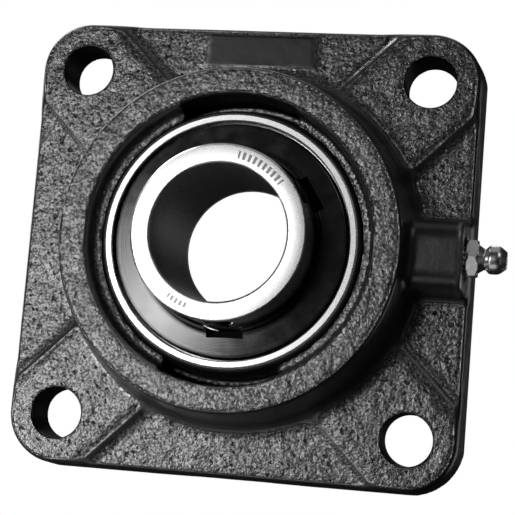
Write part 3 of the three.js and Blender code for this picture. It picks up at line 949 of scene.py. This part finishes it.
def make_balls():
    """Nine balls, evenly spaced, the first at +X."""
    for index in range(BALL_COUNT):
        ball = turned(f"rolling_ball_{index + 1}", ball_outline(0, BALL_R, 40), 64, closed=False)
        ball.data.transform(on_pitch_circle(index, CENTRE_DEPTH))
        finish_piece(ball, f"rolling_ball_{index + 1}", ball_steel, "ball_steel", f"ball_{index + 1}")


def cage_section(angle, side):
    """One section of a pressed cage half: a strip of sheet, bulged round the nearest ball."""
    across = np.linspace(*CAGE_R, 9)
    pitch = 2 * math.pi / BALL_COUNT
    away = (angle + pitch / 2) % pitch - pitch / 2
    gap = PITCH_R ** 2 + across ** 2 - 2 * PITCH_R * across * math.cos(away)

    def sheet(reach, flat):
        """One face of the strip: a sphere of that reach, run out into a flat."""
        bulge = np.sqrt(np.maximum(reach ** 2 - gap, 0))
        return side * smooth_max(bulge, np.full_like(bulge, flat), 0.5)

    near = CENTRE_DEPTH + sheet(POCKET_R, CAGE_SPLIT)
    far = CENTRE_DEPTH + sheet(POCKET_R + CAGE_SHEET, CAGE_SPLIT + CAGE_SHEET)
    return list(zip(across, near)) + list(zip(across[::-1], far[::-1]))


def rivet_holes():
    """A bar through each rivet's place, as one mesh."""
    radius, length = RIVET_R + RIVET_PLAY, 2 * CENTRE_DEPTH
    holes = turned("rivet_holes", [(0, 0), (radius, 0), (radius, length), (0, length)], 24, closed=False)
    shape = bmesh.new()
    for index in range(BALL_COUNT):
        copy = holes.data.copy()
        copy.transform(on_pitch_circle(index + 0.5, 0))
        shape.from_mesh(copy)
        bpy.data.meshes.remove(copy)
    shape.to_mesh(holes.data)
    shape.free()
    return holes


def make_cage():
    """Two pressed halves, riveted together between the balls."""
    sides = 40 * BALL_COUNT
    for side, name in ((1, "cage_front"), (-1, "cage_rear")):
        sections = [cage_section(2 * math.pi * i / sides, side) for i in range(sides)]
        half = swept(f"pressed_{name}", sections, round_bore, smooth_below=50)
        cut(half, rivet_holes())
        finish_piece(half, "cage_unit", cage_sheet, "pressed_steel", name)
    under = CAGE_SPLIT + CAGE_SHEET + RIVET_LIFT
    over = under + RIVET_HEAD
    dome = arc((0, under), RIVET_HEAD, 90, 12, 6)
    head = [(r * RIVET_HEAD_R / RIVET_HEAD, ahead) for r, ahead in dome]
    head = [(0, over)] + head[1:] + [(RIVET_HEAD_R, under), (RIVET_R, under)]
    outline = head + [(r, -ahead) for r, ahead in head[::-1]]
    for index in range(BALL_COUNT):
        rivet = turned(f"cage_pin_{index + 1}", from_centre(outline), 32, closed=False)
        rivet.data.transform(on_pitch_circle(index + 0.5, 0))
        finish_piece(rivet, "cage_unit", cage_sheet, "pressed_steel", f"cage_rivet_{index + 1}")


def make_seals():
    """A rubber washer on each side, thinner in the middle than at its rim and its lip."""
    near, far = SEAL_FROM_CENTRE
    bore, rim = SEAL_R
    section = rounded([
        (bore, near + 0.5, 0.15), (bore + 0.5, near, 0.15), (rim, near, 0.3), (rim, far, 0.3),
        (rim - 1.1, far, 0.15), (rim - 1.4, far - 0.35, 0.15), (bore + 2.1, far - 0.35, 0.15),
        (bore + 1.8, far, 0.2), (bore + 0.5, far, 0.2), (bore, far - 0.5, 0.2),
    ])
    for side, name in ((1, "seal_front"), (-1, "seal_rear")):
        outline = from_centre([(r, side * ahead) for r, ahead in section])
        finish_piece(turned(f"rubber_{name}", outline), "outer_ring_unit", seal_rubber, "seal_rubber", name)


def make_flingers():
    """A pressed steel shield on each side, notched in front where the set screws stand."""
    sheet = FLINGER_SHEET
    collar, rim = FLINGER_COLLAR_R, FLINGER_RIM_R
    section = rounded([
        (collar, FLINGER_PLATE + 0.2, 0.9), (rim, FLINGER_RIM, 0.12), (rim, FLINGER_RIM + sheet, 0.22),
        (collar + sheet, FLINGER_PLATE + 0.2 + sheet, 0.7), (collar + sheet, FLINGER_COLLAR, 0.08),
        (collar, FLINGER_COLLAR, 0.08),
    ], 6)
    for side, name in ((1, "flinger_front"), (-1, "flinger_rear")):
        outline = from_centre(finely([(r, side * ahead) for r, ahead in section], 0.5))
        flinger = turned(f"pressed_{name}", outline)
        for joint in screw_joints if side > 0 else ():
            cut(flinger, flinger_notch(screw_axis(joint)))
        finish_piece(flinger, "inner_unit", flinger_sheet, "flinger_steel", name)


def flinger_notch(angle):
    """A block that takes the flinger's collar and the root of its plate away in front of a set screw."""
    corners = list(itertools.product(
        (INNER_RING_R - 1, NOTCH_R),
        (CENTRE_DEPTH + FLINGER_PLATE - 1.5, CENTRE_DEPTH + FLINGER_COLLAR + 1),
        (-NOTCH_HALF_WIDTH, NOTCH_HALF_WIDTH),
    ))
    sides = [(0, 1, 3, 2), (4, 6, 7, 5), (0, 4, 5, 1), (2, 3, 7, 6), (0, 2, 6, 4), (1, 5, 7, 3)]
    block = solid("notch", corners, sides)
    block.data.transform(Matrix.Rotation(-angle, 4, "Y"))
    return block


make_balls()
make_cage()
make_seals()
make_flingers()


# ---------------------------------------------------------------- grease nipple

def nipple_hex(angle, x):
    """Radius of the nipple's hexagon at an angle and a place along it, with its corners turned off."""
    inset = np.minimum(x - NIPPLE_X["hex"], NIPPLE_X["neck"] - x)
    return np.minimum(hexagon_r(NIPPLE_HEX_FLATS, angle), NIPPLE_HEX_FLATS / 2 + 0.12 + inset * 1.2)


def nipple_section(angle):
    """The nipple's outline on one side of its axis: up the outside from its tail, and back down its bore."""
    x = NIPPLE_X
    thread = np.arange(x["tail"], x["hex"], THREAD_STEP)
    ridge = thread_ridge(thread / NIPPLE_PITCH - angle / (2 * math.pi))
    crest = np.minimum(NIPPLE_THREAD_R, NIPPLE_THREAD_R - 0.5 + thread - x["tail"])
    outline = list(zip(crest - NIPPLE_THREAD * (1 - ridge), thread))
    hexagon = np.linspace(x["hex"], x["neck"], 14)
    outline += list(zip(nipple_hex(angle, hexagon), hexagon))
    throat, head, mouth, bore = NIPPLE_THROAT_R, NIPPLE_HEAD_R, NIPPLE_MOUTH_R, NIPPLE_BORE_R
    return outline + rounded([
        (NIPPLE_NECK_R, x["neck"], 0.25), (throat, x["throat"] - 0.25, 0.5), (throat, x["throat"] + 0.1, 0.3),
        (head, x["head"] + 0.1, 0.9), (head, x["mouth"] - 0.9, 2.2), (NIPPLE_TIP_R, x["tip"], 0.5),
        (mouth + 0.35, x["tip"], 0.1), (mouth, x["tip"] - 0.45, 0.1), (mouth, x["mouth"], 0),
        (bore, x["mouth"] - 0.9, 0), (bore, x["lip"], 0), (mouth, x["lip"], 0), (mouth, x["tail"], 0),
    ], 8)


def make_nipple():
    """A threaded grease nipple with a hexagon and a round head, and the ball that closes its mouth."""
    sides = 96
    sections = [nipple_section(2 * math.pi * i / sides) for i in range(sides)]
    body = swept("threaded_grease_nipple", sections, along_x, smooth_below=28)
    finish_piece(body, "housing", zinc, "zinc_plated_steel", "grease_nipple_body")
    outline = ball_outline(CHECK_BALL_X, CHECK_BALL_R, 24)
    ball = turned("check_ball", outline, 40, spin=along_x, closed=False)
    finish_piece(ball, "nipple_ball", ball_steel, "ball_steel", "nipple_check_ball")


def make_spring():
    """A coil of round wire that closes up against the check ball."""
    steps, ring = 200, 10
    start, end = SPRING_ENDS_X
    along = np.array([1, 0, 0])
    points = []
    for i in range(steps + 1):
        share = i / steps
        angle = 2 * math.pi * SPRING_TURNS * share
        out = np.array([0, math.cos(angle), math.sin(angle)])
        centre = np.array([start + (end - start) * share, CENTRE_DEPTH, 0]) + SPRING_R * out
        for k in range(ring):
            turn = 2 * math.pi * k / ring
            points.append(centre + SPRING_WIRE_R * (math.cos(turn) * out + math.sin(turn) * along))
    faces = [
        (i * ring + k, i * ring + (k + 1) % ring, (i + 1) * ring + (k + 1) % ring, (i + 1) * ring + k)
        for i in range(steps) for k in range(ring)
    ]
    faces += [tuple(range(ring))[::-1], tuple(steps * ring + k for k in range(ring))]
    spring = solid("coil_spring", points, faces)
    finish_piece(spring, "housing", spring_wire, "spring_steel", "nipple_spring")
    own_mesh(spring)


make_nipple()
make_spring()


# ---------------------------------------------------------------- stage, lights and camera

CAMERA_AT = Vector((0.0747, -0.3683, -0.0447))
CAMERA_AZIMUTH = 11.26
CAMERA_ELEVATION = -6.74
CAMERA_ROLL = 4.66
LENS = 109.05
SENSOR_WIDTH = 36
FLOOR_Z = -0.2
FLOOR_HALF = 1.6
ROOM_LEVEL = 0.008


def towards(azimuth, elevation):
    """The direction from the object to something at that azimuth and elevation, in degrees."""
    a, e = math.radians(azimuth), math.radians(elevation)
    return Vector((math.sin(a) * math.cos(e), -math.cos(a) * math.cos(e), math.sin(e)))


def add_camera():
    """The camera that the photo was taken with, as solved from the bolt holes and the rings."""
    data = bpy.data.cameras.new("camera")
    data.lens = LENS
    data.sensor_width = SENSOR_WIDTH
    data.clip_start = 0.01
    camera = bpy.data.objects.new("camera", data)
    bpy.context.scene.collection.objects.link(camera)
    back = towards(CAMERA_AZIMUTH, CAMERA_ELEVATION)
    roll = Matrix.Rotation(math.radians(CAMERA_ROLL), 3, "Z")
    turn = back.to_track_quat("Z", "Y").to_matrix() @ roll
    camera.matrix_world = Matrix.Translation(CAMERA_AT) @ turn.to_4x4()
    bpy.context.scene.camera = camera


def add_light(name, at, distance, size, radiance):
    """A soft rectangular light facing the object, from an azimuth and elevation in degrees.

    distance and size, its width and height, are in metres.
    """
    data = bpy.data.lights.new(name, "AREA")
    data.shape = "RECTANGLE"
    data.size, data.size_y = size
    data.energy = radiance * math.pi * size[0] * size[1]
    light = bpy.data.objects.new(name, data)
    light.visible_camera = False
    bpy.context.scene.collection.objects.link(light)
    direction = towards(*at)
    turn = direction.to_track_quat("Z", "Y").to_matrix().to_4x4()
    light.matrix_world = Matrix.Translation(direction * distance) @ turn


def add_world():
    """White to the camera, and a dim even light to everything else."""
    world = bpy.data.worlds.new("studio")
    bpy.context.scene.world = world
    world.use_nodes = True
    tree = world.node_tree
    background = tree.nodes["Background"]
    path = tree.nodes.new("ShaderNodeLightPath")
    mix = tree.nodes.new("ShaderNodeMix")
    mix.data_type = "RGBA"
    mix.inputs["A"].default_value = (ROOM_LEVEL, ROOM_LEVEL, ROOM_LEVEL, 1)
    mix.inputs["B"].default_value = (1, 1, 1, 1)
    tree.links.new(path.outputs["Is Camera Ray"], mix.inputs["Factor"])
    tree.links.new(mix.outputs["Result"], background.inputs["Color"])


def add_floor():
    """A pale floor that glows a little, and neither lights the object nor shows in its reflections."""
    half = FLOOR_HALF
    corners = [(-half, -half, FLOOR_Z), (half, -half, FLOOR_Z), (half, half, FLOOR_Z), (-half, half, FLOOR_Z)]
    floor = new_piece("floor", corners, [(0, 1, 2, 3)])
    n = Nodes("pale_floor")
    pale = n.grey(n.noise(0.02, 3.0), 0.78, 0.82)
    n.set(Base_Color=pale, Emission_Color=pale, Emission_Strength=0.6, Roughness=0.9)
    floor.data.materials.append(n.material)
    floor.visible_glossy = False
    floor.visible_diffuse = False


add_camera()
add_world()
add_floor()
add_light("key_softbox", at=(-23, -2), distance=1.0, size=(0.34, 0.42), radiance=4.2)
add_light("front_panel", at=(-11.5, 9), distance=1.0, size=(0.19, 0.34), radiance=0.98)
add_light("near_left", at=(-56, -26), distance=0.2, size=(0.09, 0.09), radiance=5.5)
add_light("low_panel", at=(-15, -60), distance=0.7, size=(0.5, 0.4), radiance=0.5)
add_light("rim_light", at=(-105, 46), distance=1.0, size=(0.4, 0.4), radiance=8.0)
add_light("sparkle", at=(46, 36), distance=1.0, size=(0.32, 0.32), radiance=1.6)
add_light("right_softbox", at=(60, -12), distance=1.0, size=(0.3, 0.6), radiance=0.12)
add_light("overhead", at=(0, 88), distance=1.4, size=(1.4, 1.4), radiance=0.25)
add_light("rear_high", at=(195, 45), distance=1.2, size=(0.9, 0.5), radiance=1.5)
add_light("rear_left", at=(235, 20), distance=1.2, size=(0.6, 0.6), radiance=2.0)
add_light("rear_right", at=(134, -6), distance=1.2, size=(0.3, 0.9), radiance=1.2)
bpy.context.scene.view_settings.view_transform = "Standard"
